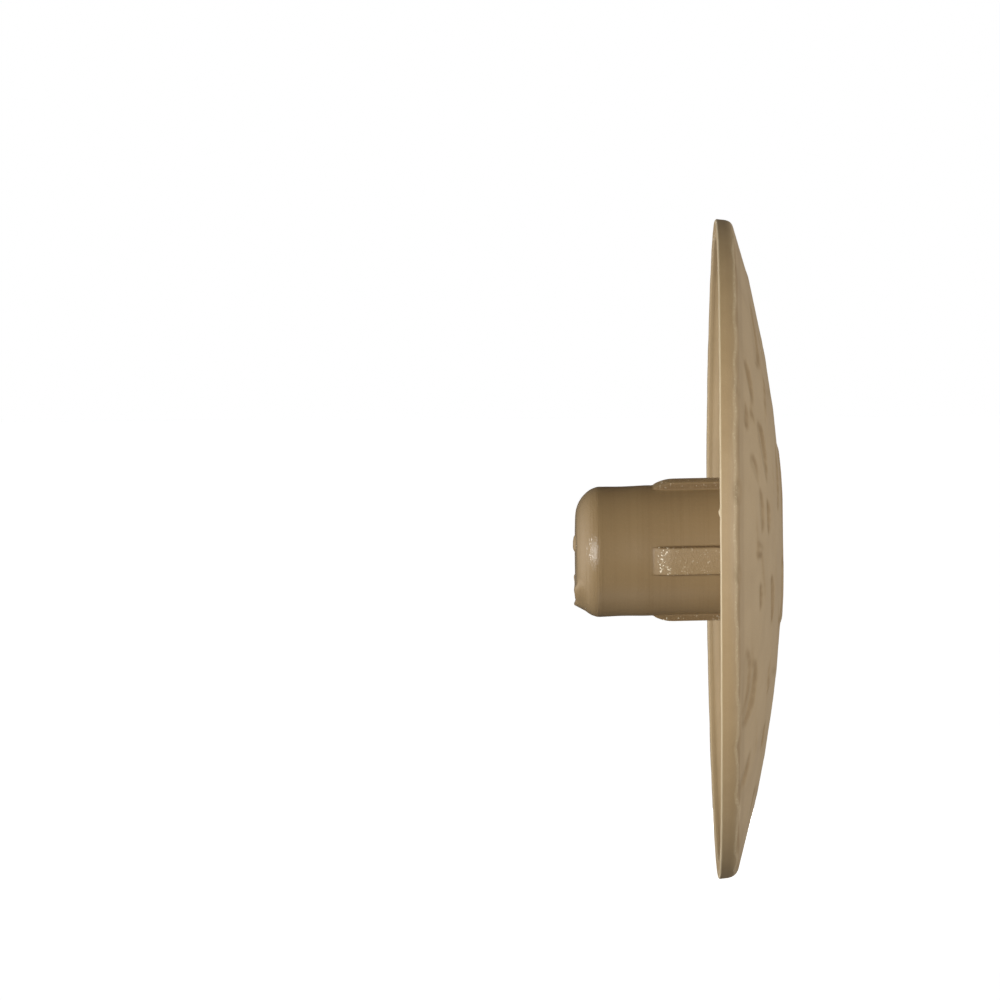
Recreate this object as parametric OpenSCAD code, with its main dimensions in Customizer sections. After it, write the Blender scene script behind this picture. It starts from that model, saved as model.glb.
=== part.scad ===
// Anchor cover cap: a domed disc with a hewn face on a ribbed push-in stem.
// It is moulded in one piece and is drawn as it sits in a wall: +X points out of
// the wall, +Z is up, and the origin is the centre of the rim's seating plane.

/* [Disc] */
// Diameter of the rim where it lies on the wall
rim_d = 50; // [40:1:64]
// Height of the dome's smooth form above the wall, before the face is hewn
dome_rise = 5.1; // [4.5:0.1:6.4]
// Radius of the dome's face
face_r = 85.1; // [78:0.1:110]
// Draft of the rim's outer wall, in degrees
rim_draft = 5; // [2:0.5:8]
// Radius that rounds the rim's shoulder into the face
shoulder_r = 1.06; // [0.8:0.02:1.2]
// Wall thickness of the hollow dome
shell_wall = 1.2; // [0.9:0.05:1.4]
// Width of the flat land that seats on the wall
rim_land = 1.4; // [1:0.1:2.4]

/* [Stem] */
// Diameter of the plain front of the stem
stem_d = 9.9; // [8:0.1:14]
// How much less the stem's radius is between the ribs, so that the ribs bite
core_step = 0.05; // [0.02:0.01:0.2]
// Length over which the plain front narrows to the stem between the ribs
neck_len = 0.6; // [0.55:0.05:1]
// Length of the stem behind the seating plane
stem_len = 10.7; // [9:0.1:20]
// Radius that rounds the stem's free end
stem_end_r = 1.6; // [0.6:0.1:2.4]
// Radius of the fillet between the stem and the hollow
root_r = 0.5; // [0.2:0.1:1]
// Diameter of the gate mark on the free end
gate_d = 1.3; // [0.8:0.1:2]
// Height of the gate mark
gate_h = 0.2; // [0.1:0.05:0.4]
// Distance of the gate mark above the stem's axis
gate_up = 0.5; // [0:0.1:1]

/* [Ribs] */
// Number of crush ribs round the stem
rib_count = 4; // [3:1:8]
// Width of one rib
rib_w = 2.15; // [1:0.05:3]
// Height of a rib above the stem
rib_h = 0.46; // [0.2:0.02:0.8]
// Distance from the seating plane to the ribs' front ends
rib_reach = 4.9; // [3:0.1:6.5]
// Length over which a rib's front end ramps up
rib_ramp = 1.6; // [0.8:0.1:2.4]
// Turn of the first rib from upright towards the near side, in degrees
rib_turn = 9.45; // [0:0.05:45]

/* [Hewn face] */
// Depth of the hewn steps, as a multiple of what each one states
hew_depth = 1; // [0.4:0.1:1.4]
// Depth that takes the whole face down to broad flats
broad_depth = 0.1; // [0.06:0.01:0.16]
// Number of places for broad flats, spread evenly inside the rim flats
broad_flats = 46; // [34:1:60]
// Number of flats round the rim
rim_flats = 23; // [16:1:30]
// Distance from the rim to the rim flats' inner steps
rim_flat_reach = 4.6; // [3.5:0.1:6]
// Seed that varies the flats
hew_seed = 11; // [1:1:40]

/* [Hidden] */
$fn = 180;
// A small overlap that lets a cutter pass clear through a surface
clear = 0.5;
rim_r = rim_d / 2;
stem_r = stem_d / 2;
core_r = stem_r - core_step;
rib_r = stem_r + rib_h;
face_centre = dome_rise - face_r;
under_r = face_r - shell_wall;
land_r = rim_r - rim_land;

// Height of the smooth face over a point of the disc
function face_h(p) = face_centre + sqrt(face_r ^ 2 - p * p);

// Radius of the rim's outer wall at a height
function wall_at(h) = rim_r - h * tan(rim_draft);

// The shoulder's centre lies shoulder_r inside both the wall and the face
function shoulder_gap(h) = norm([wall_at(h) - shoulder_r / cos(rim_draft), h - face_centre])
    - (face_r - shoulder_r);
function shoulder_height(low, high, steps) = steps == 0 ? (low + high) / 2
    : shoulder_gap((low + high) / 2) > 0 ? shoulder_height(low, (low + high) / 2, steps - 1)
    : shoulder_height((low + high) / 2, high, steps - 1);
shoulder_h = shoulder_height(-dome_rise, dome_rise, 30);
shoulder = [wall_at(shoulder_h) - shoulder_r / cos(rim_draft), shoulder_h];
shoulder_on_wall = shoulder + shoulder_r * [cos(rim_draft), sin(rim_draft)];
face_dir = (shoulder - [0, face_centre]) / norm(shoulder - [0, face_centre]);
shoulder_on_face = shoulder + shoulder_r * face_dir;

// The root fillet's centre lies root_r off both the stem's core and the hollow's roof
root = [core_r + root_r, face_centre + sqrt((under_r - root_r) ^ 2 - (core_r + root_r) ^ 2)];
root_dir = (root - [0, face_centre]) / norm(root - [0, face_centre]);
root_on_roof = root + root_r * root_dir;

// The smooth disc's section, with its radius along x and its height along y
module disc_section() {
    foot_x = shoulder.x - shoulder.y * face_dir.x / face_dir.y;
    intersection() {
        translate([0, face_centre]) circle(r = face_r, $fn = 720);
        polygon([[0, 0], [foot_x, 0], shoulder + 2 * dome_rise * face_dir, [0, 2 * dome_rise]]);
    }
    polygon([[foot_x, 0], [rim_r, 0], shoulder_on_wall, shoulder]);
    intersection() {
        translate(shoulder) circle(r = shoulder_r);
        polygon([shoulder, shoulder_on_wall + shoulder_r * [cos(rim_draft), sin(rim_draft)],
            shoulder + 2 * shoulder_r * [1, 1], shoulder_on_face + shoulder_r * face_dir]);
    }
}

// The hollow's section, between the stem and the rim's inner wall
module hollow_section() {
    difference() {
        intersection() {
            translate([0, face_centre]) circle(r = under_r, $fn = 720);
            translate([core_r, 0]) square([land_r - core_r, dome_rise]);
        }
        difference() {
            polygon([[core_r, root.y], root, root_on_roof, root_on_roof + [0, clear],
                [core_r, root_on_roof.y + clear]]);
            translate(root) circle(r = root_r);
        }
    }
}

// The stem's section below the seating plane: its core, its neck, its plain front and its
// rounded end
module stem_section() {
    flat_r = stem_r - stem_end_r;
    round_h = stem_end_r - stem_len;
    front_h = -rib_reach - neck_len;
    polygon([[0, 0], [core_r, 0], [core_r, -rib_reach], [stem_r, front_h], [0, front_h]]);
    translate([0, round_h]) square([stem_r, front_h - round_h]);
    translate([0, -stem_len]) square([flat_r, stem_end_r]);
    intersection() {
        translate([flat_r, round_h]) circle(r = stem_end_r);
        translate([flat_r, -stem_len]) square(stem_end_r);
    }
}

// Crush ribs: a turned collar with a rounded lead, kept only where the ribs stand
module ribs() {
    lead_r = (rib_ramp ^ 2 + rib_h ^ 2) / (2 * rib_h);
    full_h = rib_ramp - rib_reach;
    roof_h = face_h([rib_r, 0]) - shell_wall / 2;
    intersection() {
        rotate_extrude() {
            translate([0, full_h]) square([rib_r, roof_h - full_h]);
            intersection() {
                translate([rib_r - lead_r, full_h]) circle(r = lead_r);
                translate([0, -rib_reach]) square([rib_r, rib_ramp]);
            }
        }
        for (i = [0 : rib_count - 1])
            rotate(rib_turn + 360 * i / rib_count)
                translate([0, -rib_w / 2, -stem_len])
                    cube([rib_r + clear, rib_w, stem_len + dome_rise]);
    }
}

// How far a rim flat stops inside the rim's own circle
RIM_EDGE = 0.6;
// A flat's outline widens outwards by this share of its run, and its step has a small kink
FLARE = 1 / 4;
KINK = 1 / 9;
// A chip's depth from front to back, as a multiple of half its width, and its limit
CHIP_SHAPE = 1.15;
LONGEST_BITE = 2.4;
// The chips that show on the near side: both ends of each as [up, near], and its depth
CHIPS = [
    [[14.2, 17.9], [11.2, 17.3], 0.34],
    [[11.3, 19.6], [9.7, 20.6], 0.26],
    [[18.2, 9.6], [14.6, 13.5], 0.22],
    [[9.4, 16.4], [5, 14.6], 0.36],
    [[3.8, 14.8], [1.3, 14.8], 0.34],
    [[6.4, 20.3], [4.5, 17.9], 0.2],
    [[4.6, 17.9], [1.4, 17.6], 0.28],
    [[9.3, 6], [3, 9.6], 0.22],
    [[16.3, 8.1], [13.3, 7.2], 0.14],
    [[-2.6, 18], [-4.5, 17.7], 0.28],
    [[-2.2, 13.5], [-5.6, 12.5], 0.32],
    [[-8.3, 18.3], [-13.1, 20.1], 0.36],
    [[-7.6, 21.6], [-12.4, 20.9], 0.24],
    [[-13.3, 9.8], [-15.2, 9.3], 0.28],
    [[-14.8, 15.4], [-17.8, 17], 0.3],
    [[-18.6, 8.3], [-20.6, 6.6], 0.26]
];
// The nicks in the near side's shoulder: each one's turn from upright, depth and radius
NICKS = [[79.4, 0.17, 4], [94.2, 0.14, 2.6], [59.2, 0.12, 5], [127, 0.13, 5]];
// How far a nick's axis falls outwards, in degrees
NICK_TILT = 24;
// The face's other half repeats them, turned so that nothing lines up
FAR_TURN = 187;
GOLDEN_ANGLE = 137.508;

// The point of the smooth face over p, let down by a depth
function on_face(p, depth) = [p.x, p.y, face_h(p) - depth];

// The side of the line from a to b that lies away from the disc's middle
function outwards(a, b) = let (side = [b.y - a.y, a.x - b.x] / norm(b - a))
    side * (a + b) > 0 ? side : -side;

// Lifts off all that lies over the plane through a, b and c. The outline given to it is
// drawn in that plane from the middle of a to b, with y pointing outwards
module lift_off(a, b, c) {
    mid = (a + b) / 2;
    chord = (b - a) / norm(b - a);
    normal = cross(chord, c - a) / norm(cross(chord, c - a));
    up = normal.z > 0 ? normal : -normal;
    along = cross(up, chord) * [mid.x, mid.y, 0] > 0 ? chord : -chord;
    across = cross(up, along);
    multmatrix([for (i = [0 : 2]) [along[i], across[i], up[i], mid[i]]])
        linear_extrude(height = dome_rise) children();
}

// One hewn flat: its step runs from a to b, deep_a and deep_b below the face,
// and the flat meets the face again, or lies drop below it, at run further out
module hewn_flat(a, b, deep_a, deep_b, run, drop = 0) {
    half = norm(b - a) / 2;
    flare = run * FLARE;
    lift_off(on_face(a, hew_depth * deep_a), on_face(b, hew_depth * deep_b),
        on_face((a + b) / 2 + run * outwards(a, b), hew_depth * drop))
        polygon([[-half, 0], [-half / 3, -half * KINK], [half, 0],
            [half + flare, run / 2], [half + flare / 2, run * 3 / 2],
            [-half - flare / 2, run * 3 / 2], [-half - flare, run / 2]]);
}

// One chip: a thumbnail-shaped bite whose round step is deep at its middle and dies out
// at its ends, a and b
module chip(a, b, deep) {
    half = norm(b - a) / 2;
    bite = min(CHIP_SHAPE * half, LONGEST_BITE);
    chip_r = (half ^ 2 + bite ^ 2) / (2 * bite);
    lift_off(on_face(a, broad_depth), on_face(b, broad_depth),
        on_face((a + b) / 2 - bite * outwards(a, b), broad_depth + hew_depth * deep))
        translate([0, chip_r - bite]) circle(r = chip_r, $fn = 60);
}

// One nick: a round groove across the shoulder
module nick(turn, deep, nick_r) {
    rotate(turn) translate([shoulder.x, 0, shoulder.y]) rotate([0, NICK_TILT, 0])
        translate([0, 0, shoulder_r - hew_depth * deep + nick_r]) rotate([0, 90, 0])
            cylinder(h = 4 * shoulder_r, r = nick_r, center = true);
}

// Broad flats that cover the face inside the rim flats, spread as seeds on a flower head
module broad_hewing() {
    reach = rim_r - rim_flat_reach;
    cell = reach * sqrt(PI / broad_flats);
    middle = 3;
    translate([0, 0, dome_rise - broad_depth]) cylinder(h = dome_rise, r = cell, $fn = 7);
    depths = rands(0.9, 1.25, 3 * broad_flats, hew_seed) * broad_depth;
    turns = rands(-28, 28, broad_flats, hew_seed + 1);
    for (i = [middle : broad_flats - 1]) {
        angle = i * GOLDEN_ANGLE;
        r = reach * sqrt((i + 0.5) / broad_flats) - cell / 2;
        mid = r * [cos(angle), sin(angle)];
        half_step = cell * 0.55 * [-sin(angle + turns[i]), cos(angle + turns[i])];
        hewn_flat(mid - half_step, mid + half_step,
            depths[3 * i], depths[3 * i + 1], cell, depths[3 * i + 2]);
    }
}

// Flats round the rim, which bite into its shoulder
module rim_hewing() {
    depths = rands(0.9, 1.25, 2 * rim_flats, hew_seed + 2) * broad_depth;
    drops = rands(0.04, 0.26, rim_flats, hew_seed + 3);
    shifts = rands(-1.2, 1.2, rim_flats, hew_seed + 4);
    step = 360 / rim_flats;
    for (i = [0 : rim_flats - 1]) {
        from = i * step;
        to = from + step * 1.06;
        r = rim_r - rim_flat_reach + shifts[i];
        hewn_flat(r * [cos(from), sin(from)], r * [cos(to), sin(to)],
            depths[2 * i], depths[2 * i + 1], rim_r - RIM_EDGE - r, drops[i]);
    }
}

// All the cutters that hew the face
module hewing() {
    broad_hewing();
    rim_hewing();
    for (turn = [0, FAR_TURN]) rotate(turn) {
        for (c = CHIPS) chip(c[0], c[1], c[2]);
        for (n = NICKS) nick(n[0], n[1], n[2]);
    }
}

module cap() {
    color([0.64, 0.54, 0.39])
        rotate([180, -90, 0]) {
            difference() {
                rotate_extrude() {
                    difference() {
                        disc_section();
                        hollow_section();
                    }
                    stem_section();
                }
                hewing();
            }
            ribs();
            translate([gate_up, 0, -stem_len - gate_h])
                cylinder(h = gate_h + stem_end_r / 2, d1 = gate_d * 0.7, d2 = gate_d * 1.3);
        }
}

cap();
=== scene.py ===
# %% [markdown]
# # An anchor cover cap in moulded plastic
#
# The real thing plugs the mouth of a wall anchor once a scaffold has come down. A round
# stem pushes into the anchor, four crush ribs hold it there, and a domed disc covers the
# hole. The disc's face is hewn like stone, so that it doesn't show on a rough wall. The
# whole cap is one shot of tan plastic.
#
# So there is one piece to make. The lesson first turns the smooth cap that the mould
# maker drew, then presses it onto the hewn solid from the CAD model, which rounds each
# hewn edge as a moulding does, and last adds the small faults and the grain of a real
# shot.

# %% Load the frame
import bmesh
import bpy
import math
from mathutils import Matrix, Vector, noise
from mathutils.bvhtree import BVHTree


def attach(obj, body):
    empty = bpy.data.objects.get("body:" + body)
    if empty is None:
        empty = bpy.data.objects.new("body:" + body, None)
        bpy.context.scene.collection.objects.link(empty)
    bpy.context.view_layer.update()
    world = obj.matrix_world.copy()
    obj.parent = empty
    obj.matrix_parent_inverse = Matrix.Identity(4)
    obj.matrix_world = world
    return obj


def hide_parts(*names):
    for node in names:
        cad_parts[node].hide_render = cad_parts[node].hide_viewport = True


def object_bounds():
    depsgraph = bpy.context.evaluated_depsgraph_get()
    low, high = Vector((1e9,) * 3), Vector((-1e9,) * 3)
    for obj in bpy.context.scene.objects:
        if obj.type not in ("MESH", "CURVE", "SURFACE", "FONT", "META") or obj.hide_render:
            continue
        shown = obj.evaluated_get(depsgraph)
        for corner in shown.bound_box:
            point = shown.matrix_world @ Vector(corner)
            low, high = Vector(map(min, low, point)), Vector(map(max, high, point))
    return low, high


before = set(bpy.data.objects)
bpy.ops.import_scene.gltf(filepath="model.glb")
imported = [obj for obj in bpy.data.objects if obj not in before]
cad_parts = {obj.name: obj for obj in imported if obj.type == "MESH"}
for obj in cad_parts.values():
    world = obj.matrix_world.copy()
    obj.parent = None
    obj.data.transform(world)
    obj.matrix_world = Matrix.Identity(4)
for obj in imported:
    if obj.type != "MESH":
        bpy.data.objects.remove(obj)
cad_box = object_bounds()
cad_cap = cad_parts["cap"]
print("The solid cap has", len(cad_cap.data.polygons), "faces")

# %% [markdown]
# ## The camera
#
# The photograph looks straight along the wall, so the disc is seen on its edge and the
# stem from its side. All its lines stay parallel, as they do from far away with a long
# lens, and an orthographic camera draws just that. The cap stands a little turned, and
# leans by a hair.

# %% The camera
MM = 0.001
PIXEL = 0.07576 * MM         # what one pixel of the photograph covers
PIXELS = 1000                # the photograph's width and height
SEAT_AT = (716.65, 549)      # the pixel where the middle of the rim's seat lies
AZIMUTH, ELEVATION, LEAN = -1.2, 0.5, -0.3
CAMERA_AWAY = 2


def seen_from(turn, rise):
    """The way from the cap to a point at a turn round it and a rise above it, in degrees."""
    turn, rise = math.radians(turn), math.radians(rise)
    return Vector((math.sin(turn) * math.cos(rise), -math.cos(turn) * math.cos(rise),
                   math.sin(rise)))


back = seen_from(AZIMUTH, ELEVATION)
level = Vector((0, 0, 1)).cross(back).normalized()
upright = back.cross(level)
lean = math.radians(LEAN)
right = level * math.cos(lean) + upright * math.sin(lean)
top = back.cross(right)

camera = bpy.data.objects.new("camera", bpy.data.cameras.new("camera"))
bpy.context.collection.objects.link(camera)
bpy.context.scene.camera = camera
camera.data.type = "ORTHO"
camera.data.ortho_scale = PIXELS * PIXEL
aside, above = PIXELS / 2 - SEAT_AT[0], SEAT_AT[1] - PIXELS / 2
stand = (right * aside + top * above) * PIXEL + back * CAMERA_AWAY
turned_to = Matrix((right, top, back)).transposed().to_4x4()
camera.matrix_world = Matrix.Translation(stand) @ turned_to
camera.data.clip_start, camera.data.clip_end = 0.01, 20
print("The picture is", round(PIXELS * PIXEL / MM, 1), "mm wide")

# %% [markdown]
# ## The smooth cap's outline
#
# A cap like this starts as one outline on paper: out along the flat land that seats on
# the wall, up the rim, round its shoulder and over the dome, and on the hidden side
# along the hollow's roof and down the stem. Everything round about it is a copy of that
# outline. Each point also keeps the direction that it faces, because the hewn face is
# pressed in along it later. Measures are in millimetres, as in the CAD source.

# %% Measures of the cap
RIM_R, RISE, FACE_R = 25.0, 5.1, 85.1
DRAFT, SHOULDER_R, WALL, LAND = 5.0, 1.06, 1.2, 1.4
STEM_R, CORE_R, STEM_LEN, ROOT_R = 4.95, 4.9, 10.7, 0.5
RIB_REACH, RIB_RAMP, NECK_LEN = 4.9, 1.6, 0.6
END_LONG, END_BEND = 1.6, math.radians(18)   # the end's rounding, and its bend at the side
EDGE = 0.14                  # how far the mould rounds the rim's back edges
FACE_STEP = 0.24             # the pace of the points along the face
BANDS = (12, 6, 2.5, 0.3)    # where the face's bands meet, and where its middle starts
END_STEP = 0.14              # the pace along the stem's flat end
END_BANDS = (2, 0.5, 0.12)   # the same for the flat end's bands

face_mid = RISE - FACE_R
roof_r = FACE_R - WALL
land_r = RIM_R - LAND
slant = math.radians(DRAFT)


def shoulder_gap(height):
    """How far a shoulder centred at this height is from touching the face."""
    out = RIM_R - height * math.tan(slant) - SHOULDER_R / math.cos(slant)
    return math.hypot(out, height - face_mid) - (FACE_R - SHOULDER_R)


low, high = -RISE, RISE
for _ in range(40):
    middle = (low + high) / 2
    low, high = (low, middle) if shoulder_gap(middle) > 0 else (middle, high)
shoulder = (low, RIM_R - low * math.tan(slant) - SHOULDER_R / math.cos(slant))
shoulder_turn = math.atan2(shoulder[1], shoulder[0] - face_mid)
print("The shoulder's centre lies at", [round(v, 3) for v in shoulder])


# %% Lines and arcs of the outline
def line(start, end, pace, faces):
    """Points from start to end at a pace, all facing one way. A point is (x, r)."""
    steps = max(1, round(math.dist(start, end) / pace))
    return [(start[0] + (end[0] - start[0]) * i / steps,
             start[1] + (end[1] - start[1]) * i / steps, faces) for i in range(steps + 1)]


def arc(mid, radius, turn_from, turn_to, pace, inside=False):
    """Points on an arc, with turns measured from the axis outwards, in radians."""
    steps = max(1, round(radius * abs(turn_to - turn_from) / pace))
    points = []
    for i in range(steps + 1):
        turn = turn_from + (turn_to - turn_from) * i / steps
        way = (math.cos(turn), math.sin(turn))
        points.append((mid[0] + radius * way[0], mid[1] + radius * way[1],
                       (-way[0], -way[1]) if inside else way))
    return points


def joined(*runs):
    """Runs of points end to end, each without the point that it shares with the last."""
    points = list(runs[0])
    for run in runs[1:]:
        points += run[1:]
    return points


def face_turn(radius):
    """The turn at which the face is this far from the axis."""
    return math.asin(radius / FACE_R)


wall_turn = math.pi / 2 - slant
wall_top = (shoulder[0] + SHOULDER_R * math.cos(wall_turn),
            shoulder[1] + SHOULDER_R * math.sin(wall_turn))
wall_foot = (EDGE, RIM_R - EDGE * math.tan(slant))
rim_and_face = joined(
    arc((EDGE, RIM_R - EDGE), EDGE, math.pi, wall_turn, 0.055),
    line(wall_foot, wall_top, 0.2, (math.cos(wall_turn), math.sin(wall_turn))),
    arc(shoulder, SHOULDER_R, wall_turn, shoulder_turn, 0.16),
    arc((face_mid, 0), FACE_R, shoulder_turn, face_turn(BANDS[0]), FACE_STEP))
print("The rim and the outer face take", len(rim_and_face), "points")

# %% The hidden side and the stem
root_x = face_mid + math.sqrt((roof_r - ROOT_R) ** 2 - (CORE_R + ROOT_R) ** 2)
root_turn = math.atan2(CORE_R + ROOT_R, root_x - face_mid)
land_turn = math.asin(land_r / roof_r)
land_top = face_mid + roof_r * math.cos(land_turn)
end_r = END_LONG / (1 - math.sin(END_BEND))
end_mid = (end_r - STEM_LEN, STEM_R - end_r * math.cos(END_BEND))
side_end = END_LONG - STEM_LEN
back_of_cap = joined(
    line((0, RIM_R - EDGE), (0, land_r + EDGE), 0.4, (-1, 0)),
    arc((EDGE, land_r + EDGE), EDGE, math.pi, 3 * math.pi / 2, 0.07),
    line((EDGE, land_r), (land_top, land_r), 0.2, (0, -1)),
    arc((face_mid, 0), roof_r, land_turn, root_turn, 1.1, inside=True),
    arc((root_x, CORE_R + ROOT_R), ROOT_R, root_turn, -math.pi / 2, 0.15, inside=True),
    line((root_x, CORE_R), (RIB_RAMP - RIB_REACH, CORE_R), 0.8, (0, 1)),
    line((RIB_RAMP - RIB_REACH, CORE_R), (-RIB_REACH - NECK_LEN, STEM_R), 0.14, (0, 1)),
    line((-RIB_REACH - NECK_LEN, STEM_R), (side_end + 0.4, STEM_R), 0.4, (0, 1)),
    line((side_end + 0.4, STEM_R), (side_end, STEM_R), 0.08, (0, 1)),
    arc(end_mid, end_r, math.pi / 2 + END_BEND, math.pi, 0.16),
    line((-STEM_LEN, end_mid[1]), (-STEM_LEN, END_BANDS[0]), 0.17, (-1, 0)))
print("The hidden side and the stem take", len(back_of_cap), "points")

# %% [markdown]
# ## Turning the cap
#
# The spin operator carries an outline round an axis, as a potter's wheel does. The outer
# face needs many narrow steps round, because its hewn edges are fine, but near the
# middle so many would crowd together. So the outline is cut into bands, each spun in
# fewer steps than the one outside it. Where two bands meet, the coarser ring's edges are
# subdivided until it has as many points as the finer one, and the two are merged. One
# sixth of the turn is enough to spin, as the other five are copies of it.

# %% Spin the bands of one slice
SPOKES, SLICES = 720, 6
WELD = 0.005 * MM            # points closer than this are one
BAND_STEP = 0.23             # the pace along the face inside its first band
cap_mesh = bmesh.new()
faces_x = cap_mesh.verts.layers.float.new("faces_x")
faces_r = cap_mesh.verts.layers.float.new("faces_r")
hewn_step = cap_mesh.verts.layers.float.new("hewn_step")
crest = cap_mesh.verts.layers.float.new("crest")


def spun_band(points, spokes):
    """Spins a run of outline points through one slice, and returns its first ring's edges."""
    known = set(cap_mesh.verts)
    verts = []
    for x, r, (way_x, way_r) in points:
        vert = cap_mesh.verts.new((x * MM, 0, r * MM))
        vert[faces_x], vert[faces_r] = way_x, way_r
        verts.append(vert)
    edges = [cap_mesh.edges.new(pair) for pair in zip(verts, verts[1:])]
    bmesh.ops.spin(cap_mesh, geom=verts + edges, cent=(0, 0, 0), axis=(1, 0, 0),
                   dvec=(0, 0, 0), angle=math.tau / SLICES, steps=spokes // SLICES)
    spun = [v for v in cap_mesh.verts if v not in known]
    x, r, _ = points[0]
    ring = {v for v in spun if abs(v.co.x - x * MM) < WELD
            and abs(math.hypot(v.co.y, v.co.z) - r * MM) < WELD}
    return list({e for v in ring for e in v.link_edges if e.other_vert(v) in ring})


def face_rings(radius_from, radius_to):
    """Points of the face between two distances from the axis."""
    return arc((face_mid, 0), FACE_R, face_turn(radius_from), face_turn(radius_to), BAND_STEP)


def sewn(spokes, bands):
    """Spins ever coarser bands and merges each with the one outside it."""
    for points, coarser in bands:
        first = spun_band(points, coarser)
        bmesh.ops.subdivide_edges(cap_mesh, edges=first, cuts=spokes // coarser - 1)
        bmesh.ops.remove_doubles(cap_mesh, verts=[v for v in cap_mesh.verts if v.is_boundary],
                                 dist=WELD)
        spokes = coarser


spun_band(rim_and_face, SPOKES)
sewn(SPOKES, [(face_rings(BANDS[i], BANDS[i + 1]), SPOKES // 2 ** (i + 1))
              for i in range(3)])
end_rings = [line((-STEM_LEN, END_BANDS[i]), (-STEM_LEN, END_BANDS[i + 1]), END_STEP, (-1, 0))
             for i in range(2)]
sewn(SPOKES, [(back_of_cap, SPOKES // 2), (end_rings[0], SPOKES // 4),
              (end_rings[1], SPOKES // 12)])
print("One slice has", len(cap_mesh.faces), "faces")

# %% Copy the slice round and close the middles
one_slice = cap_mesh.verts[:] + cap_mesh.edges[:] + cap_mesh.faces[:]
for i in range(1, SLICES):
    copy = bmesh.ops.duplicate(cap_mesh, geom=one_slice)["geom"]
    bmesh.ops.rotate(cap_mesh, verts=[v for v in copy if isinstance(v, bmesh.types.BMVert)],
                     cent=(0, 0, 0), matrix=Matrix.Rotation(i * math.tau / SLICES, 3, "X"))
bmesh.ops.remove_doubles(cap_mesh, verts=[v for v in cap_mesh.verts if v.is_boundary],
                         dist=WELD)
bmesh.ops.holes_fill(cap_mesh, edges=[e for e in cap_mesh.edges if e.is_boundary])
bmesh.ops.recalc_face_normals(cap_mesh, faces=cap_mesh.faces)
open_edges = sum(len(e.link_faces) != 2 for e in cap_mesh.edges)
print("The turned cap has", len(cap_mesh.faces), "faces and", open_edges, "open edges")

# %% [markdown]
# ## Pressing the hewn face
#
# The CAD solid holds every hewn flat, chip and nick, and the crush ribs, all with sharp
# edges. Plastic doesn't fill a knife edge, so on the real cap each one is a little
# round. Here every point of the turned cap looks along the way it faces, finds the solid
# by casting rays, and moves onto it. It takes the mean of nine rays close together, and
# that mean is what rounds the edges. How much the rays differ shows where a step stands,
# and how far the middle one lies above the rest shows a crest. Both are kept as
# attributes for the finish. A few rounds of smoothing then even out what falls between
# two points.

# %% Press the turned cap onto the solid
solid = bmesh.new()
solid.from_mesh(cad_cap.data)
bmesh.ops.remove_doubles(solid, verts=solid.verts, dist=1e-6)
solid_tree = BVHTree.FromBMesh(solid)
solid.free()
LOOK_FROM, LOOK_LONG = 0.9 * MM, 3 * MM      # where rays start outside, and their length
NEAR_AXIS = 6 * MM           # all of the stem and its root lies this near the axis
PRESSED = (-6 * MM, 3.7 * MM)                # the stretch of the stem that has ribs
ROOT_X = 2.9 * MM            # the stem's root starts here
OUTWARDS, ON_RIM = 0.05, 0.32                # how far a point of the face, or rim, faces so
FACE_ROUND, STEM_ROUND = 0.19 * MM, 0.06 * MM
STEP_FULL = 0.12 * MM        # a step this high counts as a full one
CRESTS = (0.01 * MM, 0.04 * MM)
RIM_CHORDS, STEM_CHORDS = (0.012 * MM, 0.04 * MM), (0.045 * MM, 0.08 * MM)


def ramp(value, start, end):
    """0 at start, 1 at end, and smooth between."""
    t = min(1, max(0, (value - start) / (end - start)))
    return t * t * (3 - 2 * t)


def heights(point, way, spread):
    """Heights of the solid over the smooth cap at and round one point."""
    around = way.cross(Vector((1, 0, 0)))
    around = around.normalized() if around.length > 1e-4 else Vector((0, 1, 0))
    across = way.cross(around)
    found = []
    for i in range(9):
        turn = math.tau * i / 8
        side = (around * math.cos(turn) + across * math.sin(turn)) * spread * (i < 8)
        hit = solid_tree.ray_cast(point + side + way * LOOK_FROM, -way, LOOK_LONG)
        if hit[3] is not None:
            found.append(LOOK_FROM - hit[3])
    return found


moves = []
for vert in cap_mesh.verts:
    radius = math.hypot(vert.co.y, vert.co.z)
    on_stem = radius < NEAR_AXIS and PRESSED[0] < vert.co.x < PRESSED[1]
    if vert[faces_x] > OUTWARDS or on_stem:
        out = Vector((0, vert.co.y, vert.co.z)) / max(radius, 1e-9)
        way = (Vector((vert[faces_x], 0, 0)) + out * vert[faces_r]).normalized()
        way = out if on_stem else way
        found = heights(vert.co, way, STEM_ROUND if on_stem else FACE_ROUND)
        if found:
            height = sum(found) / len(found)
            vert[crest] = ramp(found[-1] - height, *CRESTS)
            if on_stem or vert[faces_r] > ON_RIM:
                height *= ramp(abs(height), *(STEM_CHORDS if on_stem else RIM_CHORDS))
            if not on_stem or vert.co.x < ROOT_X:
                vert[hewn_step] = min(1, (max(found) - min(found)) / STEP_FULL)
            moves.append((vert, way * height))
for vert, move in moves:
    vert.co += move
print(len(moves), "points pressed, the furthest by",
      round(max(move.length for vert, move in moves) / MM, 2), "mm")

# %% Soften what was pressed
FACE_FROM = 0.6 * MM         # the hewn part of the rim starts here
BEND_HALF = 0.4 * MM         # how far either way the stem's end bend is softened


def smoothed(verts, factor, times):
    """Moves points towards the middle of their neighbours."""
    for _ in range(times):
        bmesh.ops.smooth_vert(cap_mesh, verts=verts, factor=factor, use_axis_x=True,
                              use_axis_y=True, use_axis_z=True)


def spread_out(verts, layer, times):
    """Evens out an attribute between neighbours."""
    for _ in range(times):
        means = [sum(e.other_vert(v)[layer] for e in v.link_edges) / len(v.link_edges)
                 for v in verts]
        for v, mean in zip(verts, means):
            v[layer] = (v[layer] + mean) / 2


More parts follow.
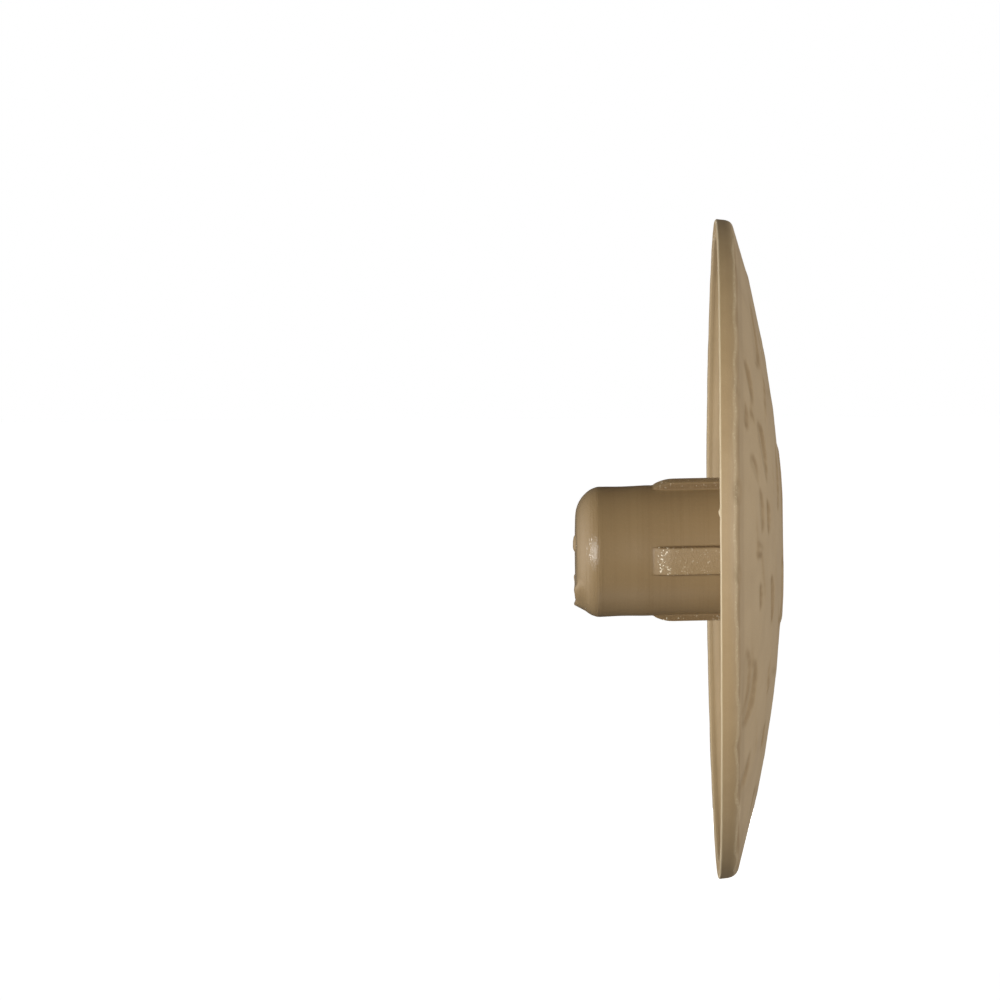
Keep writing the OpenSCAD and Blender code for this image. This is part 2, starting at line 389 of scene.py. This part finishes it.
hewn = [v for v in cap_mesh.verts if v.co.x > FACE_FROM and v[faces_x] > OUTWARDS]
smoothed(hewn, 0.5, 2)
spread_out(hewn, hewn_step, 3)
spread_out(hewn, crest, 3)
smoothed([v for v in cap_mesh.verts if abs(v.co.x - side_end * MM) < BEND_HALF], 0.5, 12)
print(len(hewn), "points of the face softened")

# %% [markdown]
# ## The faults of a real shot
#
# Plastic shrinks as it cools, so the disc dishes a little at its near and far sides, and
# the stem gets a faint waist and droops by a hair. The two halves of the mould leave a
# lip of flash low on the stem's end, a burr on the rim's back edge, and a torn gate
# mark. All of them are moves of a few tenths of a millimetre at most, which stay inside
# the solid's box.

# %% Shrink, flash and burr
DISH = 0.26 * MM             # how far the disc's near and far sides draw back
WAIST, WAIST_AT, WAIST_HALF = 0.045 * MM, -7.2 * MM, 2.2 * MM
DROOP, DROOP_BEND = 0.21 * MM, 1.3           # how far the stem's free end hangs down
LIP, LIP_R = 0.15 * MM, 3.95 * MM            # the flash's lip on the stem's end
FLASH_TURN, FLASH_HALF = math.radians(-97), math.radians(66)
LIP_FROM = 2.4 * MM          # the flash leaves the middle of the end alone
BURR, BURR_UP, BURR_HALF = 0.16 * MM, 2.95 * MM, 0.16 * MM
GATE, GATE_UP, GATE_R = 0.2 * MM, 0.68 * MM, 0.65 * MM
RAGGED = 0.025 * MM          # how far the rim's back edge strays
FREE_HALF, END_X, SIDE_R = -5 * MM, -9.5 * MM, 4 * MM    # bounds of the stem's free half,
EDGE_R, EDGE_X = 24.6 * MM, 0.25 * MM                    # its end, its side and the rim
FURTHEST_BACK = cad_box[0].x + 0.005 * MM


def lip_back(radius):
    """Where the flash's lip lies at this distance from the axis: a ledge and a chamfer."""
    if radius < LIP_R:
        return -STEM_LEN * MM - LIP * ramp(radius, LIP_R - 0.5 * MM, LIP_R)
    out = (radius - LIP_R) / (STEM_R * MM - LIP_R)
    return (1 - out) * (-STEM_LEN * MM - LIP) + out * side_end * MM


for vert in cap_mesh.verts:
    p = vert.co
    radius = math.hypot(p.y, p.z)
    if radius < NEAR_AXIS and p.x < FREE_HALF:
        ragged = noise.noise(p * 900)
        pinch = WAIST * ramp(WAIST_HALF - abs(p.x - WAIST_AT), 0, WAIST_HALF)
        scale = 1 - pinch / max(radius, MM)
        if radius > SIDE_R:
            p.y, p.z = p.y * scale, p.z * scale
        if p.x < END_X:
            turn = math.atan2(p.z, -p.y)
            along = 1 - ramp(abs(turn - FLASH_TURN), FLASH_HALF * 0.8, FLASH_HALF)
            if radius > LIP_FROM:
                p.x += along * (0.85 + 0.3 * ragged) * min(0, lip_back(radius) - p.x)
            gate = 1 - ramp(math.hypot(p.y, p.z - GATE_UP), GATE_R * 0.6, GATE_R * 1.25)
            p.x -= GATE * gate * (0.85 + 0.5 * noise.noise(p * 2600))
            p.x = max(p.x, FURTHEST_BACK)
    if radius < NEAR_AXIS and p.x < 0:
        p.z -= DROOP * (-p.x / STEM_LEN / MM) ** DROOP_BEND
    p.x -= DISH * (p.y / RIM_R / MM) ** 2
    if radius > EDGE_R and p.x < EDGE_X:
        p.x += RAGGED * noise.noise(p * 500)
        if p.y < 0:
            p.x -= BURR * math.exp(-((p.z - BURR_UP) / BURR_HALF) ** 2)
bmesh.ops.recalc_face_normals(cap_mesh, faces=cap_mesh.faces)
triangles = sum(len(f.verts) - 2 for f in cap_mesh.faces)
print("The finished cap has", triangles, "triangles")

# %% Make the piece
cap_data = bpy.data.meshes.new("anchor_cap")
cap_mesh.to_mesh(cap_data)
cap_mesh.free()
cap_data.shade_smooth()
anchor_cap = bpy.data.objects.new("anchor_cap", cap_data)
bpy.context.collection.objects.link(anchor_cap)
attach(anchor_cap, "root")
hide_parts("cap")

# %% [markdown]
# ## Shader maths as plain sums
#
# A finish is a net of nodes, and a net drawn by hand is hard to read. So a small class
# wraps one socket, and adding or multiplying two wraps adds the Math node between them.
# One method makes every other kind of node.

# %% The wrapped socket and the node maker
class Wire:
    """One output socket of a finish."""

    def __init__(self, tree, socket):
        self.tree, self.socket = tree, socket

    def maths(self, operation, *values):
        inputs = dict(enumerate(values))
        return made(self.tree, "ShaderNodeMath", {"operation": operation}, inputs)

    def __add__(self, other):
        return self.maths("ADD", self, other)

    def __sub__(self, other):
        return self.maths("SUBTRACT", self, other)

    def __rsub__(self, other):
        return self.maths("SUBTRACT", other, self)

    def __mul__(self, other):
        return self.maths("MULTIPLY", self, other)

    def __truediv__(self, other):
        return self.maths("DIVIDE", self, other)

    def __pow__(self, other):
        return self.maths("POWER", self, other)

    def __abs__(self):
        return self.maths("ABSOLUTE", self)

    __radd__, __rmul__ = __add__, __mul__


def made(tree, kind, settings=None, inputs=None, output=0):
    """Adds one node: its settings first, then its sockets' values or wires."""
    node = tree.nodes.new(kind)
    for name, value in (settings or {}).items():
        setattr(node, name, value)
    for key, value in (inputs or {}).items():
        if isinstance(value, Wire):
            tree.links.new(value.socket, node.inputs[key])
        else:
            node.inputs[key].default_value = value
    return Wire(tree, node.outputs[output]) if node.outputs else None


def eased(value, start, end):
    """0 at start, 1 at end, and smooth between."""
    return made(value.tree, "ShaderNodeMapRange", {"interpolation_type": "SMOOTHSTEP"},
                {"Value": value, "From Min": start, "From Max": end})


def blended(factor, one, other):
    """One colour where the factor is 0, and the other where it is 1."""
    return made(factor.tree, "ShaderNodeMix", {"data_type": "RGBA"},
                {0: factor, 6: one, 7: other}, 2)


def grain(place, size, detail=2.0, stretch=(1, 1, 1)):
    """Noise whose grains are about this size in metres, from 0 to 1."""
    tree = place.tree
    spread = made(tree, "ShaderNodeMapping", {}, {"Vector": place, "Scale": stretch})
    return made(tree, "ShaderNodeTexNoise", {},
                {"Vector": spread, "Scale": 1 / size, "Detail": detail})


def positive(value):
    """The value, but never less than 0."""
    return value.maths("MAXIMUM", value, 0.0)


print("The maths helpers are ready")

# %% [markdown]
# ## Moulded tan plastic
#
# The cap is one plastic, and only the mould's own skin differs from place to place. The
# face and the ribs come from spark-eroded steel, which leaves a fine matt grain. On the
# ribs the tips of the grain are glossier, and glints on them are painted into the colour
# as well, most of all where a rib starts. The stem comes from turned and polished steel,
# so it is glossier and shows faint rings near its free end. Shade is painted into the
# colour in the hewn steps, and a highlight is painted paler on a crest of the rim, and
# the attributes from the pressing say where both are. The rim's back edge is thin flash,
# with a painted highlight along it and painted light on the rim's inner wall. A fine
# raised line wanders round the rim where the two halves of the mould met, with a painted
# highlight on it and painted shade just beyond it.
#
# The finish first works out where each part of the cap lies, as a share from 0 to 1. The
# distance from the seat allows for the dish, and the distance from the axis for the droop.

# %% Where each part of the cap lies
finish = bpy.data.materials.new("moulded_tan_plastic")
finish.use_nodes = True
tree = finish.node_tree
tree.nodes.clear()
place = made(tree, "ShaderNodeTexCoord", {}, {}, "Object")
x, y, z = (made(tree, "ShaderNodeSeparateXYZ", {}, {0: place}, i) for i in range(3))
radius = (y * y + z * z) ** 0.5
stem = 1 - eased(radius, 5.6 * MM, 6.2 * MM)
stem = stem * (1 - eased(x, 3.6 * MM, 4.2 * MM))
droop = DROOP * (positive(0 - x) / (STEM_LEN * MM)) ** DROOP_BEND
from_axis = (y * y + (z + droop) ** 2) ** 0.5
ribs = stem * eased(from_axis, 4.96 * MM, 5.03 * MM) * eased(x, -5.3 * MM, -4.9 * MM)
ribs = ribs * (1 - eased(x, ROOT_X, ROOT_X + 0.4 * MM))
rib_starts = ribs * (1 - eased(x, -4.1 * MM, -2.9 * MM))
polished = stem * (1 - ribs)
free_end = 1 - eased(x, -9.6 * MM, -8.6 * MM)
rounded_end = eased(radius, 3.3 * MM, 4.1 * MM)
rim = eased(radius, 22.6 * MM, 23.2 * MM)
from_seat = x + y * y * (DISH / RIM_R ** 2 / MM ** 2)
# Where steps stand, shade is painted into the colour; on the rim's crests a highlight is
# painted
step = made(tree, "ShaderNodeAttribute", {"attribute_name": "hewn_step"}, {}, "Fac")
crest_highlight = made(tree, "ShaderNodeAttribute", {"attribute_name": "crest"}, {}, "Fac")
print("The masks take", len(tree.nodes), "nodes")

# %% The grain of the plastic, the mould's line, and painted highlights and shade
mottle = grain(place, 7 * MM, 3)
blotch = grain(place, 1.6 * MM, 3)
speckle = grain(place, 0.22 * MM, 2)
fine = grain(place, 0.11 * MM, 2)
turned = eased(grain(place, 0.3 * MM, 2, (1, 0.02, 0.02)), 0.4, 0.75)
rings = grain(place, 0.14 * MM, 1, (1, 0.06, 0.06)) * (1 - eased(x, -9.4 * MM, -8.2 * MM))
tips = eased(grain(place, 0.17 * MM, 1), 0.58, 0.66)
sparse = eased(grain(place, 0.6 * MM, 1), 0.48, 0.6)
wander = grain(place, 3.5 * MM, 2)
# A highlight is painted along the mould's parting line, which the bump also raises as a fine
# ridge, and shade is painted just beyond it
past_line = from_seat - (0.82 + 0.8 * wander) * MM
parting_ridge_and_highlight = rim * (1 - eased(abs(past_line), 0.05 * MM, 0.16 * MM))
shade = rim * (1 - eased(abs(past_line - 0.42 * MM), 0.1 * MM, 0.34 * MM))
# A highlight is painted along the rim's thin back edge
edge_highlight = eased(radius, 24.72 * MM, 24.86 * MM)
edge_highlight = edge_highlight * (1 - eased(from_seat + 0.05 * MM * blotch, 0.11 * MM, 0.18 * MM))
# Light is painted onto the rim's inner wall near its seat, where the hollow lies in shade
inner_wall_light = rim * (1 - eased(radius, 23.7 * MM, 23.8 * MM))
inner_wall_light = inner_wall_light * (1 - eased(from_seat, 0.15 * MM, 0.7 * MM))
print("With the grain there are", len(tree.nodes), "nodes")

# %% The colour in layers
TAN, TAN_PALE = (0.29, 0.198, 0.097, 1), (0.355, 0.252, 0.133, 1)
# The deep tone is the stem's colour, its rings and the painted shade; the pale one after it
# paints only highlights
TAN_DEEP, TAN_HIGHLIGHT = (0.17, 0.105, 0.042, 1), (0.5, 0.4, 0.25, 1)
TAN_GLINT = (0.85, 0.76, 0.58, 1)

colour = blended(0.5 + 0.9 * (mottle - 0.5) + 0.7 * (1 - stem) * (blotch - 0.5),
                 TAN, TAN_PALE)
# The first layer is painted shade in the hewn steps; the painted highlights and glints are
# marked below
for share, tone in [(step * 0.85, TAN_DEEP),
                    # a highlight painted paler on the rim's crests
                    (crest_highlight * rim * 0.35, TAN_HIGHLIGHT),
                    (polished * 0.22, TAN_DEEP),
                    (eased(speckle, 0.5, 0.8) * 0.2, TAN_PALE),
                    # the painted highlight along the parting line
                    (parting_ridge_and_highlight * (0.2 + 0.35 * tips), TAN_HIGHLIGHT),
                    # painted shade just beyond the parting line
                    (shade * 0.22, TAN_DEEP),
                    # the painted highlight on the rim's back edge, and painted light on its
                    # inner wall
                    (edge_highlight + inner_wall_light * 0.4, TAN_HIGHLIGHT),
                    (turned * polished * 0.14, TAN_DEEP),
                    # painted glints on the tips of the grain, most of all where a rib starts
                    (tips * sparse * (0.3 * ribs + 0.6 * rib_starts), TAN_GLINT)]:
    colour = blended(share, colour, tone)
print("With the colour there are", len(tree.nodes), "nodes")

# %% The relief and the gloss
eroded = speckle * (0.5 + 1.4 * ribs) + fine * (0.4 + 0.5 * ribs)
skin = eroded * (1 - 0.55 * polished) + rings * stem * 1.5 + turned * polished * 0.2
skin = skin + fine * polished * free_end * (0.5 + 0.8 * rounded_end) + parting_ridge_and_highlight * 0.6
relief = made(tree, "ShaderNodeBump", {}, {"Height": skin, "Strength": 0.4,
                                           "Distance": 0.05 * MM})
rough = 0.5 - 0.14 * polished + 0.12 * (mottle - 0.5) + 0.35 * step - 0.1 * crest_highlight
rough = rough - 0.2 * tips * ribs - 0.16 * free_end * stem
shader = made(tree, "ShaderNodeBsdfPrincipled", {},
              {"Base Color": colour, "Roughness": rough, "Normal": relief, "IOR": 1.49})
made(tree, "ShaderNodeOutputMaterial", {}, {"Surface": shader})
cap_data.materials.append(finish)
print("The finish has", len(tree.nodes), "nodes")

# %% [markdown]
# ## Floor and light
#
# The cap stands on its rim on a plain white light table in a white room. The table is
# only there for the camera, and the light on the cap is set on its own: a soft key from
# the front on the disc's side, another on the stem's side, a small hard one for the
# glints on the stem's end, one behind that gives no glare, and low light from both ends
# but hardly any from overhead, which darkens the stem's top. A lobe of the room is light
# from round one direction.

# %% The floor
FLOOR_Z, FLOOR_HALF = cad_box[0].z, 4
floor_mesh = bmesh.new()
bmesh.ops.create_grid(floor_mesh, x_segments=1, y_segments=1, size=FLOOR_HALF)
bmesh.ops.translate(floor_mesh, verts=floor_mesh.verts, vec=(0, 0, FLOOR_Z))
floor_data = bpy.data.meshes.new("floor")
floor_mesh.to_mesh(floor_data)
floor_mesh.free()
floor = bpy.data.objects.new("floor", floor_data)
bpy.context.collection.objects.link(floor)
floor.visible_diffuse = floor.visible_glossy = floor.visible_shadow = False
table_top = bpy.data.materials.new("light_table")
table_top.use_nodes = True
table_top.node_tree.nodes.clear()
glow = made(table_top.node_tree, "ShaderNodeBsdfPrincipled", {},
            {"Base Color": (0.8, 0.8, 0.8, 1), "Roughness": 0.8,
             "Emission Color": (1, 1, 1, 1), "Emission Strength": 0.86})
made(table_top.node_tree, "ShaderNodeOutputMaterial", {}, {"Surface": glow})
floor_data.materials.append(table_top)
print("The floor lies at", round(FLOOR_Z / MM, 2), "mm")


# %% The softboxes
LIGHTS_AWAY = 0.6


def softbox(name, turn, rise, wide, power):
    """A square light that looks at the cap from a turn round it and a rise above it."""
    lamp = bpy.data.lights.new(name, "AREA")
    lamp.size, lamp.energy = wide, power
    box = bpy.data.objects.new(name, lamp)
    bpy.context.collection.objects.link(box)
    way = seen_from(turn, rise)
    box.location = way * LIGHTS_AWAY
    box.rotation_euler = way.to_track_quat("Z", "Y").to_euler()
    return box


softbox("key", 42, 6, 0.3, 2.6)
softbox("stem_side", -36, 0, 0.3, 2.6)
softbox("glint", -60, 2, 0.03, 0.75)
softbox("far_side", 188, -2, 0.3, 1.9).visible_glossy = False
print("Four softboxes are up")


# %% The room
def lobe(look, way, tightness, strength):
    """Light of the room from round one direction."""
    aim = made(look.tree, "ShaderNodeVectorMath", {"operation": "DOT_PRODUCT"},
               {0: look, 1: tuple(Vector(way).normalized())}, "Value")
    return positive(aim) ** tightness * strength


world = bpy.data.worlds.new("studio")
bpy.context.scene.world = world
bpy.context.scene.view_settings.view_transform = "Standard"
world.use_nodes = True
room = world.node_tree
room.nodes.clear()
look = made(room, "ShaderNodeTexCoord", {}, {}, "Generated")
low_light = (lobe(look, (-1, 0, 0), 4, 1.6) + lobe(look, (1, 0, 0), 4, 1.35)
             + lobe(look, (0, 1, 0), 4, 0.08) + lobe(look, (1, 1, 0), 8, 0.3)
             + lobe(look, (0, 0, -1), 4, 0.26) + lobe(look, (0, -0.1, -1), 80, 0.9))
seen = made(room, "ShaderNodeLightPath", {}, {}, "Is Camera Ray")
air = made(room, "ShaderNodeBackground", {}, {"Color": blended(seen, low_light, (1, 1, 1, 1))})
made(room, "ShaderNodeOutputWorld", {}, {"Surface": air})
print("The room has", len(room.nodes), "nodes")
